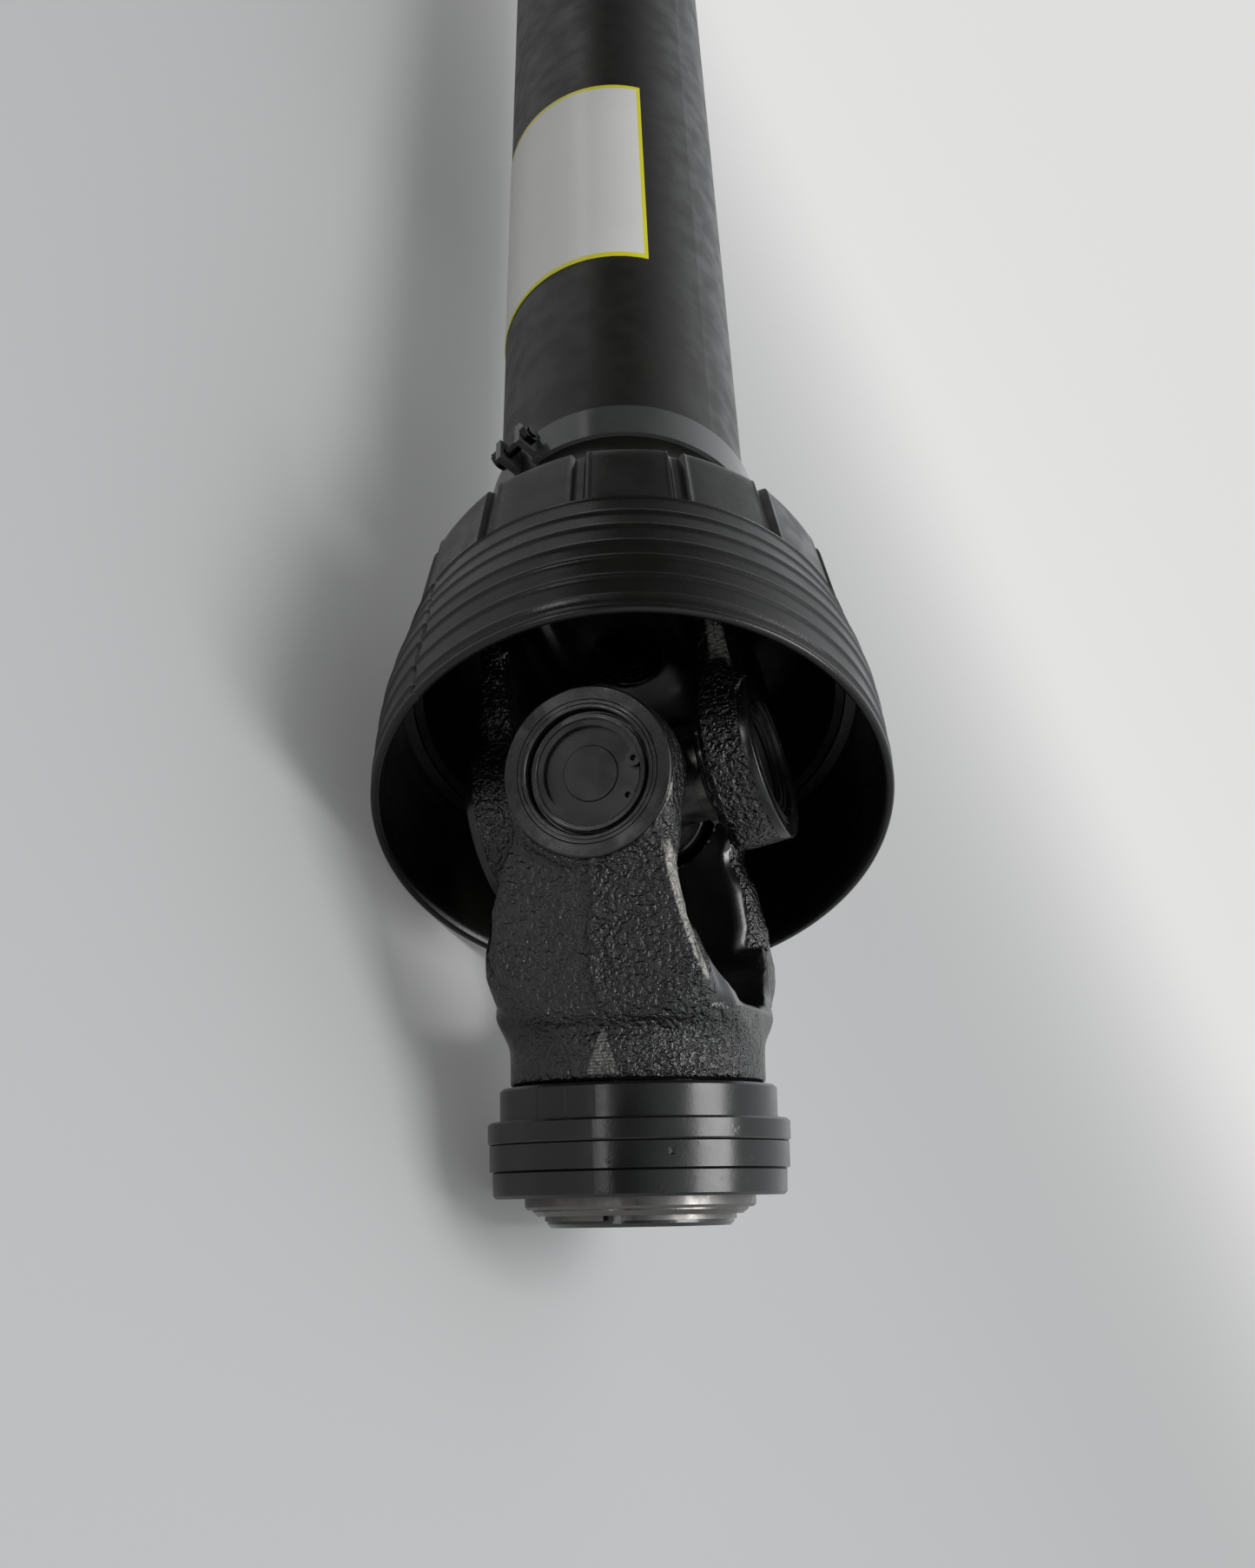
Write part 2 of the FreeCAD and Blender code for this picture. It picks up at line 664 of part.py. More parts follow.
def droop():
    """How far an end yoke must hang below level for its collar to meet the floor."""
    height = mouth_radius - floor_gap
    angles = []
    for radius, reach in ((shield_radius, shield_start), (ring_radius, grip_start),
                          (grip_radius, grip_seam), (grip_nose_radius, grip_end)):
        reach += neck_end
        angles.append(math.asin(height / math.hypot(radius, reach)) - math.atan2(radius, reach))
    return min(angles)


def yoke_direction(side):
    """The end yoke's axis at rest, away from its cross: outwards, sideways and down."""
    bend = math.radians(rest_bend)
    fall = math.sin(droop())
    swing = math.sqrt(math.sin(bend) ** 2 - fall ** 2)
    return V(side * math.cos(bend), side * swing, -fall)


def frame(x_axis, z_axis, origin):
    """The placement with the given X and Z directions at an origin."""
    y_axis = z_axis.cross(x_axis)
    return FreeCAD.Placement(FreeCAD.Matrix(
        x_axis.x, y_axis.x, z_axis.x, origin.x,
        x_axis.y, y_axis.y, z_axis.y, origin.y,
        x_axis.z, y_axis.z, z_axis.z, origin.z,
        0, 0, 0, 1))


def about_shaft(angle, side):
    """A direction square to the shaft, turned from upright by an angle."""
    turn = math.radians(angle)
    return V(0, -side * math.sin(turn), math.cos(turn))


def end_frames(side):
    """The frames of one end: its guard, inner yoke, cross and end yoke."""
    centre = V(side * half_length, 0, mouth_radius)
    inner_pin = V(0, math.sin(math.radians(pin_roll)), math.cos(math.radians(pin_roll)))
    outward = V(side, 0, 0)
    yoke = yoke_direction(side)
    end_pin = yoke.cross(inner_pin).normalize()
    return {
        "centre": centre, "outward": outward, "inner_pin": inner_pin, "end_pin": end_pin, "yoke": yoke,
        "inner": frame(inner_pin * side, outward * -1, centre),
        "cross": frame(inner_pin, inner_pin.cross(end_pin), centre),
        "end": frame(end_pin, yoke, centre),
        "neck": frame(end_pin, yoke, centre + yoke * neck_end),
        "guard": frame(about_shaft(panel_roll, side), outward, centre),
        "band": frame(about_shaft(band_roll, side), outward, centre),
        "label": frame(about_shaft(label_roll, side), outward, centre),
    }


def save(name, shapes, placement):
    """Puts a node's solids in place and writes them as one file."""
    solids = []
    for shape in shapes if isinstance(shapes, list) else [shapes]:
        for solid in shape.Solids:
            copy = solid.copy()
            copy.Placement = placement.multiply(copy.Placement)
            solids.append(copy)
    whole = solids[0] if len(solids) == 1 else Part.makeCompound(solids)
    whole.exportStep(os.path.join("parts", name + ".step"))
    print(name, len(solids), "valid" if whole.isValid() else "NOT VALID", round(whole.Volume / 1000, 2), "cm3")


def save_joint(end, at):
    """The cross with its cups, clips, seals and nipple."""
    cup, clip = bearing_cup(), circlip()
    save("cross_" + end, cross_body(), at["cross"])
    save("cross_seals_" + end, cross_seals(), at["cross"])
    save("grease_nipple_" + end, grease_nipple(), at["cross"])
    for kind in ("inner", "end"):
        for number, twin in enumerate(both_ways(cup), 1):
            save("bearing_cup_%s_%s%d" % (kind, end, number), twin, at[kind])
        save("circlips_%s_%s" % (kind, end), both_ways(clip), at[kind])


def save_collar(end, at):
    """The quick-release collar and what it holds."""
    save("collar_sleeve_" + end, collar_sleeve(), at["neck"])
    save("collar_shield_" + end, collar_shield(), at["neck"])
    save("collar_ring_" + end, collar_ring(), at["neck"])
    save("collar_grip_" + end, collar_grip(), at["neck"])
    save("collar_spring_" + end, collar_spring(), at["neck"])
    save("end_washer_" + end, end_washer(), at["neck"])
    save("snap_ring_" + end, snap_ring(), at["neck"])
    for i in range(ball_count):
        save("lock_ball_%s%d" % (end, i + 1), locking_ball(i), at["neck"])


def save_guard(end, at, tube_radius):
    """The bell, its base and their fastenings."""
    save("guard_bell_" + end, guard_bell(), at["guard"])
    save("guard_base_" + end, guard_base(tube_radius), at["guard"])
    save("guard_bearing_" + end, guard_bearing(), at["guard"])
    save("retaining_band_" + end, retaining_band(tube_radius), at["band"])
    save("band_screw_" + end, band_screw(tube_radius), at["band"])


os.makedirs("parts", exist_ok=True)
for end, side, lobe, tube in (("a", 1, outer_lobe_radius, guard_tube_radius),
                              ("b", -1, inner_lobe_radius, inner_guard_radius)):
    at = end_frames(side)
    save("end_yoke_" + end, end_yoke(), at["end"])
    save("inner_yoke_" + end, inner_yoke(lobe), at["inner"])
    save("spring_pin_" + end, spring_pin(), at["inner"])
    save_joint(end, at)
    save_collar(end, at)
    save_guard(end, at, tube)

near, far = end_frames(1), end_frames(-1)
save("outer_profile_tube", profile_tube(outer_lobe_radius, outer_tube_wall, profile_length), near["inner"])
save("inner_profile_tube", profile_tube(inner_lobe_radius, inner_tube_wall, inner_profile_length), far["inner"])
save("outer_guard_tube", guard_tube(guard_tube_radius, guard_tube_wall, guard_tube_length), near["guard"])
save("inner_guard_tube", guard_tube(inner_guard_radius, inner_guard_wall, inner_guard_length), far["guard"])
save("label", label(), near["label"])
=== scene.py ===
"""The drive shaft's finished look, in metres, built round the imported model."""
import bpy
import bmesh
import json
import math
import numpy as np
from mathutils import Matrix, Vector, noise


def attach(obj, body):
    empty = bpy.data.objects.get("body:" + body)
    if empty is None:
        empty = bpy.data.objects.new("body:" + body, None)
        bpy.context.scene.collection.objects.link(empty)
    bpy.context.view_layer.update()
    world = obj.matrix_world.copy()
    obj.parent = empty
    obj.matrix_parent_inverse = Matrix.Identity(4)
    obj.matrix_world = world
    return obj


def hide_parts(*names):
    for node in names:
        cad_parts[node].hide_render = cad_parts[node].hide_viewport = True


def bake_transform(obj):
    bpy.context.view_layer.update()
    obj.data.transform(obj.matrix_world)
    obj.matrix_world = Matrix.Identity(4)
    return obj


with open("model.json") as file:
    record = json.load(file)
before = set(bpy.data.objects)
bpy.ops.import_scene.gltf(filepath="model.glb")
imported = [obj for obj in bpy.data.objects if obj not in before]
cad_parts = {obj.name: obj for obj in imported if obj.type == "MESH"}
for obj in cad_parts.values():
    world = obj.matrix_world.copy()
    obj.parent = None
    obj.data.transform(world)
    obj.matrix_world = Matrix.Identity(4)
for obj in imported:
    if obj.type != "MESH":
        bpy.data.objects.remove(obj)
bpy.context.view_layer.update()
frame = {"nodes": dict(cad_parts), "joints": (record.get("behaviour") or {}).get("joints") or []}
nodes = frame["nodes"]
joints = {joint["name"]: joint for joint in frame["joints"]}
MM = 0.001

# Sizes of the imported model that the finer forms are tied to, in millimetres
EAR_FACE = 43.5         # from the cross centre
EAR_RADIUS = 24.5
GAP_HALF = 27.0         # half the room between a fork's arms
ARM_FOOT = 66.0
NECK_CUT = 84.0         # below it a fork is made anew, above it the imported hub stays
MOUTH_REACH = 4.7       # the bell's mouth beyond the cross centre
LAP_END = 59.5          # depth to which the bell laps over the base
OUTER_TUBE, INNER_TUBE = 41.8, 38.3     # radii of the two guard tubes


# Frames of each end, taken from its joints

def axes(x, z, origin):
    """The matrix with the given X and Z directions at an origin."""
    x, z = Vector(x).normalized(), Vector(z).normalized()
    y = z.cross(x)
    matrix = Matrix((x, y, z)).transposed().to_4x4()
    matrix.translation = origin
    return matrix


class End:
    """The places and directions of one end of the shaft."""

    def __init__(self, name, side, drive, guard):
        self.name, self.drive, self.guard_body = name, drive, guard
        self.centre = Vector(joints["cross_turn_" + name]["pos_m"])
        self.inner_pin = Vector(joints["cross_turn_" + name]["axis"])
        self.end_pin = Vector(joints["yoke_turn_" + name]["axis"])
        self.yoke = Vector(joints["collar_slide_" + name]["axis"])
        self.out = Vector((side, 0, 0))
        self.end = axes(self.end_pin, self.yoke, self.centre)
        self.inner = axes(self.inner_pin * side, -self.out, self.centre)
        self.guard = axes((0, 0, 1), self.out, self.centre)


ENDS = (End("a", 1, "outer_drive", "guard_outer"), End("b", -1, "inner_drive", "guard_inner"))
END_A = ENDS[0]


# Materials

class Paint:
    """A node material built up in code."""

    def __init__(self, name, colour, rough, metallic=0.0, coat=0.0, specular=0.5):
        self.material = bpy.data.materials.new(name)
        self.material.use_nodes = True
        self.tree = self.material.node_tree
        self.shader = self.tree.nodes["Principled BSDF"]
        self.shader.inputs["Base Color"].default_value = (*colour, 1)
        self.shader.inputs["Roughness"].default_value = rough
        self.shader.inputs["Metallic"].default_value = metallic
        self.shader.inputs["Coat Weight"].default_value = coat
        self.shader.inputs["Coat Roughness"].default_value = 0.12
        self.shader.inputs["Specular IOR Level"].default_value = specular
        self.where = self.node("ShaderNodeTexCoord").outputs["Object"]
        self.height = None

    def node(self, kind, **settings):
        """A new node with its settings."""
        made = self.tree.nodes.new(kind)
        for key, value in settings.items():
            setattr(made, key, value)
        return made

    def link(self, out, into):
        self.tree.links.new(out, into)

    def feed(self, value, into):
        """Links a socket, or sets a constant."""
        if isinstance(value, bpy.types.NodeSocket):
            self.link(value, into)
        else:
            into.default_value = value

    def math(self, kind, a, b=0.0, c=0.0):
        """The result of an operation on sockets or constants."""
        made = self.node("ShaderNodeMath", operation=kind)
        for value, into in zip((a, b, c), made.inputs):
            self.feed(value, into)
        return made.outputs[0]

    def noise(self, scale, detail=3.0, rough=0.55, stretch=None):
        """Noise of a scale in features per metre, from 0 to 1."""
        place = self.where
        if stretch:
            mapping = self.node("ShaderNodeMapping")
            mapping.inputs["Scale"].default_value = stretch
            self.link(place, mapping.inputs["Vector"])
            place = mapping.outputs["Vector"]
        made = self.node("ShaderNodeTexNoise")
        made.inputs["Scale"].default_value = scale
        made.inputs["Detail"].default_value = detail
        made.inputs["Roughness"].default_value = rough
        self.link(place, made.inputs["Vector"])
        return made.outputs["Fac"]

    def ramp(self, value, low, high, to_low=0.0, to_high=1.0):
        """A value mapped smoothly from one range to another."""
        made = self.node("ShaderNodeMapRange", interpolation_type="SMOOTHSTEP")
        if high < low:
            low, high, to_low, to_high = high, low, to_high, to_low
        self.feed(value, made.inputs["Value"])
        limits = (("From Min", low), ("From Max", high), ("To Min", to_low), ("To Max", to_high))
        for key, number in limits:
            self.feed(number, made.inputs[key])
        return made.outputs["Result"]

    def band(self, value, low, high, soft):
        """1 between low and high, with soft sides."""
        return self.times(self.ramp(value, low - soft, low + soft),
                          self.ramp(value, high - soft, high + soft, 1.0, 0.0))

    def times(self, *factors):
        """The product of all factors."""
        product = factors[0]
        for factor in factors[1:]:
            product = self.math("MULTIPLY", product, factor)
        return product

    def along(self, direction, origin):
        """How far the shaded point lies along a direction from an origin, in metres."""
        made = self.node("ShaderNodeVectorMath", operation="DOT_PRODUCT")
        self.link(self.where, made.inputs[0])
        made.inputs[1].default_value = direction
        return self.math("SUBTRACT", made.outputs["Value"], Vector(direction).dot(Vector(origin)))

    def local(self, matrix):
        """The shaded point's three coordinates in a frame, in millimetres."""
        origin = matrix.translation
        return [self.math("MULTIPLY", self.along(matrix.col[i].xyz, origin), 1 / MM) for i in range(3)]

    def radius(self, a, b):
        """The length of (a, b)."""
        return self.math("SQRT", self.math("ADD", self.times(a, a), self.times(b, b)))

    def angle(self, a, b):
        """The angle of (a, b) in degrees."""
        return self.math("MULTIPLY", self.math("ARCTAN2", b, a), 180 / math.pi)

    def mix(self, factor, a, b):
        """A colour between two others."""
        made = self.node("ShaderNodeMix", data_type="RGBA")
        self.feed(factor, made.inputs["Factor"])
        for value, into in ((a, made.inputs[6]), (b, made.inputs[7])):
            self.feed(value if isinstance(value, bpy.types.NodeSocket) else (*value, 1), into)
        return made.outputs[2]

    def colour(self, socket):
        self.link(socket, self.shader.inputs["Base Color"])

    def rough(self, socket):
        self.link(socket, self.shader.inputs["Roughness"])

    def bump(self, height, depth, strength=1.0):
        """Adds a bump whose height of 1 is depth metres, on top of those before it."""
        made = self.node("ShaderNodeBump")
        made.inputs["Strength"].default_value = strength
        made.inputs["Distance"].default_value = depth
        self.link(height, made.inputs["Height"])
        if self.height:
            self.link(self.height, made.inputs["Normal"])
        self.height = made.outputs["Normal"]
        self.link(self.height, self.shader.inputs["Normal"])


def forged(name, matrix):
    """Black paint over rough forged steel, worn bright along the milled edges of the arms."""
    paint = Paint(name, (0.004, 0.004, 0.004), 0.26, specular=0.6)
    x, y, z = paint.local(matrix)
    side = paint.math("SIGN", x)
    y = paint.times(y, side)
    reach = paint.math("ABSOLUTE", x)
    # rough skin: coarse one side of the flash line, finer on the other
    coarse = paint.ramp(y, 4.0, -4.0, 0.55, 1.0)
    pores = paint.ramp(paint.noise(560, 2, 0.5), 0.34, 0.6)
    grain = paint.noise(1000, 2, 0.6)
    outside = paint.math("MAXIMUM", paint.ramp(reach, 28.5, 30.0), paint.ramp(z, 64.0, 66.0))
    paint.bump(paint.times(pores, coarse, outside), 0.0007)
    paint.bump(paint.times(grain, outside), 0.0006)
    # the ground flat at the arm's foot
    across = paint.math("ABSOLUTE", paint.math("ADD", y, 1.0))
    lift = paint.math("ADD", across, paint.math("MULTIPLY", z, -0.32))
    ground = paint.times(paint.ramp(paint.math("ADD", lift, paint.noise(600, 1)), -21.4, -21.8),
                         paint.band(z, 70.5, 83.0, 0.5), outside)
    strokes = paint.math("SINE", paint.math("MULTIPLY", z, 7.0))
    marks = paint.times(paint.ramp(paint.noise(300, 2), 0.3, 0.7),
                        paint.math("MULTIPLY_ADD", strokes, 0.5, 0.5))
    # milled edge of the arm, where its paint is thin
    height = paint.math("SUBTRACT", z, 26.0)
    width = paint.math("ADD", paint.times(height, 0.158), paint.times(height, height, 0.0042))
    edge = paint.math("ADD", paint.math("ADD", y, paint.math("ADD", width, 22.0)),
                      paint.math("MULTIPLY", paint.noise(500, 2), 0.8))
    worn = paint.times(paint.band(edge, -0.8, 1.2, 0.35), paint.band(z, 20.0, 72.0, 3.0),
                       paint.ramp(reach, 33.0, 35.0), paint.ramp(paint.noise(260, 3), 0.3, 0.55, 0.35, 1.0))
    pin = paint.radius(y, z)
    rim = paint.times(paint.band(pin, 23.6, 24.9, 0.3), paint.ramp(y, -14.0, -19.0),
                      paint.ramp(reach, 40.5, 42.0), paint.ramp(paint.noise(300, 3), 0.35, 0.6, 0.2, 1.0))
    bare = paint.math("MINIMUM", paint.math("ADD", worn, rim), 1.0)
    tint = paint.mix(paint.noise(140, 3), (0.002, 0.002, 0.002), (0.005, 0.005, 0.0047))
    tint = paint.mix(paint.times(ground, paint.ramp(marks, 0.1, 0.5, 0.35, 1.0)), tint, (0.13, 0.125, 0.115))
    paint.colour(paint.mix(paint.times(bare, 0.85), tint, (0.34, 0.33, 0.3)))
    paint.rough(paint.ramp(paint.noise(60, 2), 0.3, 0.7, 0.18, 0.3))
    return paint.material


def turned_face(name, matrix):
    """Painted machined face with fine rings about the pin."""
    paint = Paint(name, (0.004, 0.004, 0.004), 0.22, specular=0.5)
    x, y, z = paint.local(matrix)
    pin = paint.radius(y, z)
    rings = paint.math("SINE", paint.math("MULTIPLY", pin, 11.0))
    uneven = paint.ramp(paint.noise(90, 3), 0.35, 0.65, 0.3, 1.0)
    paint.bump(paint.times(rings, uneven), 0.000035)
    paint.bump(paint.noise(1500, 2), 0.00004, 0.5)
    tint = paint.ramp(paint.noise(220, 3), 0.5, 0.75)
    paint.colour(paint.mix(tint, (0.003, 0.003, 0.003), (0.009, 0.009, 0.0085)))
    paint.rough(paint.ramp(paint.noise(160, 3), 0.3, 0.7, 0.18, 0.32))
    return paint.material


def steel(name, colour, rough):
    """Bare metal with fine tool marks."""
    paint = Paint(name, colour, rough, metallic=1.0)
    paint.bump(paint.noise(2500, 2), 0.00003)
    paint.rough(paint.ramp(paint.noise(300, 3), 0.3, 0.7, rough - 0.08, rough + 0.1))
    return paint.material


def plastic(name, colour, rough, grain=700, depth=0.00005, coat=0.0, specular=0.4):
    """Moulded black plastic with a faint grain."""
    paint = Paint(name, colour, rough, coat=coat, specular=specular)
    light = tuple(channel * 1.6 for channel in colour)
    paint.colour(paint.mix(paint.noise(45, 4), colour, light))
    paint.bump(paint.noise(grain, 3), depth)
    paint.rough(paint.ramp(paint.noise(90, 4), 0.3, 0.7, rough - 0.06, rough + 0.08))
    return paint.material


def bell_plastic(name):
    """The bell's soft plastic with its scuffs."""
    paint = Paint(name, (0.009, 0.0088, 0.008), 0.26, specular=0.35)
    paint.bump(paint.noise(900, 3), 0.00005)
    tint = paint.mix(paint.noise(50, 4), (0.0035, 0.0034, 0.003), (0.006, 0.0058, 0.005))
    scuff = paint.ramp(paint.noise(30, 5, 0.7, stretch=(1, 1, 3)), 0.62, 0.75)
    tint = paint.mix(paint.times(scuff, 0.5), tint, (0.02, 0.019, 0.017))
    paint.colour(tint)
    paint.rough(paint.ramp(paint.noise(70, 4), 0.3, 0.7, 0.22, 0.34))
    return paint.material


def collar_plastic(name, end):
    """Smooth black mouldings with mould lines, streaks and small knocks."""
    paint = Paint(name, (0.016, 0.016, 0.016), 0.22, coat=0.1, specular=0.4)
    x, y, z = paint.local(end.end)
    angle = paint.angle(x, y)
    streaks = paint.noise(16, 4, 0.6)
    lines = paint.math("ADD", paint.band(angle, 27.5, 27.9, 0.15), paint.band(angle, 13.3, 13.6, 0.15))
    first = paint.times(lines, paint.ramp(z, 95.0, 94.0))
    paint.bump(first, 0.0004, 0.7)
    dent = paint.times(paint.band(angle, -29.5, -28.0, 0.4), paint.band(z, 103.4, 105.0, 0.3))
    paint.bump(paint.math("MULTIPLY", dent, -1.0), 0.0005, 0.8)
    paint.bump(paint.noise(1300, 2), 0.00003)
    paint.bump(paint.ramp(paint.noise(200, 4, 0.7), 0.62, 0.75), 0.0001, 0.5)
    paint.colour(paint.mix(streaks, (0.003, 0.0031, 0.0028), (0.006, 0.0062, 0.0058)))
    paint.rough(paint.ramp(paint.noise(60, 4), 0.3, 0.7, 0.18, 0.3))
    return paint.material


def label_face():
    """A bare pale label with a yellow border."""
    paint = Paint("label_face", (0.7, 0.69, 0.66), 0.3, coat=0.2)
    x, y, z = paint.local(END_A.guard)
    angle = paint.angle(x, y)
    border = paint.math("ADD", paint.ramp(angle, 42.9, 42.3), paint.ramp(z, -238.0, -237.6))
    border = paint.math("ADD", border, paint.ramp(z, -363.6, -364.0))
    tint = paint.mix(paint.noise(18, 3), (0.56, 0.56, 0.54), (0.66, 0.655, 0.63))
    paint.colour(paint.mix(paint.math("MINIMUM", border, 1.0), tint, (0.62, 0.58, 0.02)))
    return paint.material


# Mesh helpers

def mesh_object(name, body, material, vertices, faces):
    """A finished piece from its vertices and faces, riding on a body."""
    mesh = bpy.data.meshes.new(name)
    mesh.from_pydata(vertices, [], faces)
    mesh.validate()
    return finished(name, mesh, body, material)


def finished(name, mesh, body, material):
    """An object for a mesh, smooth, with its finish, riding on a body."""
    mesh.shade_smooth()
    made = bpy.data.objects.new(name, mesh)
    bpy.context.scene.collection.objects.link(made)
    mesh.materials.clear()
    mesh.materials.append(material)
    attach(made, body)
    return made


def lathe(name, body, material, matrix, profile, turns, sharp, shift=None):
    """A closed outline of (radius, height) turned about the frame's Z, in millimetres.

    turns is a number of even steps, or the angles themselves in degrees. Edges sharper than
    sharp degrees stay crisp. shift(angle, radius, height) may move a point to another radius
    and height.
    """
    if isinstance(turns, int):
        turns = [360 * i / turns for i in range(turns)]
    steps = len(turns)
    vertices = []
    for degrees in turns:
        angle = math.radians(degrees)
        for radius, height in profile:
            r, h = shift(angle, radius, height) if shift else (radius, height)
            vertices.append(matrix @ (Vector((r * math.cos(angle), r * math.sin(angle), h)) * MM))
    count = len(profile)
    faces = []
    for i in range(steps):
        j = (i + 1) % steps
        for k in range(count):
            m = (k + 1) % count
            faces.append((i * count + k, j * count + k, j * count + m, i * count + m))
    made = mesh_object(name, body, material, vertices, faces)
    fix_normals(made.data)
    crease(made, sharp)
    return made


def fix_normals(mesh):
    """Turns all faces outwards."""
    work = bmesh.new()
    work.from_mesh(mesh)
    bmesh.ops.recalc_face_normals(work, faces=work.faces)
    work.to_mesh(mesh)
    work.free()


def crease(piece, degrees):
    """Keeps edges sharper than an angle crisp."""
    split = piece.modifiers.new("edges", "EDGE_SPLIT")
    split.split_angle = math.radians(degrees)


# Forgings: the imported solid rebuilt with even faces, then rounded where it was only forged

def points_of(mesh, matrix):
    """A mesh's points in a frame, in millimetres."""
    points = np.empty(len(mesh.vertices) * 3)
    mesh.vertices.foreach_get("co", points)
    back = np.array(matrix.inverted())
    return (points.reshape(-1, 3) @ back[:3, :3].T + back[:3, 3]) / MM


def put_points(mesh, points, matrix):
    """Writes points in a frame, in millimetres, back to a mesh."""
    turn = np.array(matrix)
    mesh.vertices.foreach_set("co", ((points * MM) @ turn[:3, :3].T + turn[:3, 3]).ravel())
    mesh.update()


def relaxed(mesh, points, free, passes):
    """Points moved towards their neighbours' mean, each as far as free lets it."""
    edges = np.empty(len(mesh.edges) * 2, dtype=np.int32)
    mesh.edges.foreach_get("vertices", edges)
    a, b = edges[0::2], edges[1::2]
    n = len(points)
    count = np.maximum(np.bincount(a, minlength=n) + np.bincount(b, minlength=n), 1)
    for _ in range(passes):
        total = np.stack([np.bincount(a, points[b, k], n) + np.bincount(b, points[a, k], n)
                          for k in range(3)], 1)
        points = points + (total / count[:, None] - points) * (0.5 * free)[:, None]
    return points


def step(value, low, high):
    """0 below low and 1 above high, smooth between; low may be the larger."""
    t = np.clip((value - low) / (high - low), 0, 1)
    return t * t * (3 - 2 * t)


# Half widths of the arms at heights above the pin: as packed, and on the real near and far flanks
HEIGHTS = (12, 20, 26, 37, 48, 60, 68, 74, 79)
CAD_WIDTH = (24.4, 24.2, 24.2, 25.1, 28.8, 33.9, 36.2, 36.7, 36.8)
NEAR_WIDTH = (24.4, 23.2, 22.6, 24.8, 27.8, 32.2, 35.6, 36.7, 36.8)
FAR_WIDTH = (24.4, 26.6, 28.4, 31.2, 32.8, 33.6, 33.6, 35.2, 36.8)
SADDLE_CUT, SADDLE_HEIGHT, SADDLE_WIDTH = 1.9, 70.5, 2.6        # the hollow between arm and neck
FLASH_RISE = 0.8
WAIST_CUT = 1.5
DRAFT = 0.06            # how fast the arm's outer face falls away to its flanks


def bowed(points):
    """The arms' flanks moved to the real forging's lines, alike on both arms under a half turn."""
    x, y, z = points.T
    side = np.sign(x)
    across = y * side
    target = np.where(across < 0, np.interp(z, HEIGHTS, NEAR_WIDTH), np.interp(z, HEIGHTS, FAR_WIDTH))
    scale = target / np.interp(z, HEIGHTS, CAD_WIDTH)
    on_arm = step(np.abs(x), 21, 28) * step(z, 14, 24)
    y = y * (1 + (scale - 1) * on_arm)
    saddle = SADDLE_CUT * np.exp(-((z - SADDLE_HEIGHT) / SADDLE_WIDTH) ** 2) * step(np.abs(x), 26, 32)
    wander = 0.6 * np.sin(z / 4.3) + 0.4 * np.sin(z / 1.9 + 1.0)
    flash = FLASH_RISE * np.exp(-(y * side - 0.2 + wander) ** 2)
    flash = flash * step(z, 23, 29) * step(z, 66, 58) * step(np.abs(x), 29, 31)
    waist = WAIST_CUT * step(np.hypot(y, z), 25.4, 27.6) * step(z, 62, 42) * step(np.abs(x), 36, 39)
    draft = DRAFT * np.abs(y) * step(np.hypot(y, z), 25.4, 30) * step(z, 70, 60) * step(np.abs(x), 36, 39)
    return np.stack([x + side * (flash - saddle - waist - draft), y, z], 1)


def lumpy(points):
    """How much forging scale lifts each point, about -1 to 1."""
    lifts = np.empty(len(points))
    for i, (x, y, z) in enumerate(points):
        spot = Vector((x, y, z))
        lifts[i] = 0.5 * noise.noise(spot / 4.5) + 0.42 * noise.noise(spot / 2.3)
    return lifts


BORE_REACH = 18.2           # points nearer the pin's axis belong to an ear's bore
BORE_WIDENED_TO = 18.4
FACE_SUNK_TO = 42.5
RELAX_PASSES = 22
SCALE_LIFT = 0.12           # relief of the forging scale, in millimetres
FINE_VOXEL, COARSE_VOXEL = 0.0009, 0.0012       # in metres; the inner forks are seen less


